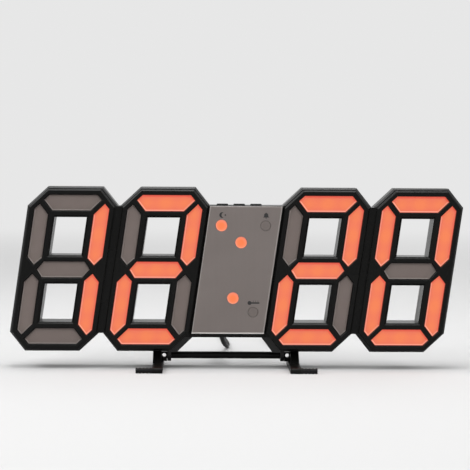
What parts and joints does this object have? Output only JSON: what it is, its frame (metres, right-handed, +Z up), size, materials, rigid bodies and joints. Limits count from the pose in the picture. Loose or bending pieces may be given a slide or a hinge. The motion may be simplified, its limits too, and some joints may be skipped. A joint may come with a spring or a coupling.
{
  "type": "digital led desk clock",
  "caption": "Wide desk clock with open seven-segment digits in a slanted black housing, a grey centre panel, top buttons, a folding stand and a put-away supply cord",
  "frame": {"origin": "centre of the footprint of the clock without its cord, on the table", "axes": "+X to the right seen from the front, +Y from the front to the back, +Z up; the digits face -Y"},
  "size_m": [0.2156, 0.2063, 0.0861],
  "materials": {
    "black_case": "satin black moulding",
    "lit_diffuser": "milky, lit coral",
    "dark_diffuser": "milky grey",
    "grey_panel": "fine satin",
    "white_plastic": "matt white",
    "circuit_board": "solder resist",
    "led_package": "clear resin",
    "component_black": "matt",
    "bright_metal": "plated",
    "ribbon": "satin",
    "button_black": "satin",
    "stand_black": "satin",
    "black_rubber": "matt",
    "tie_black": "satin",
    "tongue_white": "satin"
  },
  "bodies": {
    "clock": {"front_frame": "black_case", "rear_cover": "black_case", "digit_1_lit": "lit_diffuser", "digit_2_lit": "lit_diffuser", "digit_3_lit": "lit_diffuser", "digit_4_lit": "lit_diffuser", "lit_indicators": "lit_diffuser", "digit_1_dark": "dark_diffuser", "digit_2_dark": "dark_diffuser", "digit_3_dark": "dark_diffuser", "digit_4_dark": "dark_diffuser", "dark_indicators": "dark_diffuser", "centre_panel": "grey_panel", "digit_1_reflector": "white_plastic", "digit_2_reflector": "white_plastic", "digit_3_reflector": "white_plastic", "digit_4_reflector": "white_plastic", "left_display_board": "circuit_board", "right_display_board": "circuit_board", "main_board": "circuit_board", "left_segment_leds": "led_package", "right_segment_leds": "led_package", "indicator_leds": "led_package", "control_chip": "component_black", "buzzer": "component_black", "tact_switches": "component_black", "supply_socket": "component_black", "cell_holder": "component_black", "temperature_sensor": "component_black", "clock_crystal": "bright_metal", "coin_cell": "bright_metal", "plug_barrel": "bright_metal", "end_plug_shell": "bright_metal", "case_screws": "bright_metal", "board_jumpers": "ribbon", "strain_relief": "black_rubber", "supply_plug": "black_rubber", "end_plug": "black_rubber", "supply_cord": "black_rubber", "cord_coil": "black_rubber", "cord_tail": "black_rubber", "cable_tie": "tie_black", "end_plug_tongue": "tongue_white"},
    "stand": {"stand_bracket": "stand_black", "foot_sleeves": "black_rubber"},
    "door": {"battery_door": "black_case"},
    "set_key": {"set_button": "button_black", "set_plunger": "button_black"},
    "up_key": {"up_button": "button_black", "up_plunger": "button_black"},
    "down_key": {"down_button": "button_black", "down_plunger": "button_black"}
  },
  "joints": [
    {"name": "stand_fold", "type": "hinge", "parent": "clock", "child": "stand", "pos_m": [-0.0049, 0.0103, 0.0051], "axis": [1, 0, 0], "range_deg": [0, 90]},
    {"name": "door_turn", "type": "hinge", "parent": "clock", "child": "door", "pos_m": [0.00056, 0.0111, 0.051], "axis": [0, 1, 0], "range_deg": [0, 45]},
    {"name": "set_press", "type": "slide", "parent": "clock", "child": "set_key", "axis": [0, 0, -1], "range_m": [0, 0.0005], "stiffness_N_per_m": 300},
    {"name": "up_press", "type": "slide", "parent": "clock", "child": "up_key", "axis": [0, 0, -1], "range_m": [0, 0.0005], "stiffness_N_per_m": 300},
    {"name": "down_press", "type": "slide", "parent": "clock", "child": "down_key", "axis": [0, 0, -1], "range_m": [0, 0.0005], "stiffness_N_per_m": 300}
  ]
}
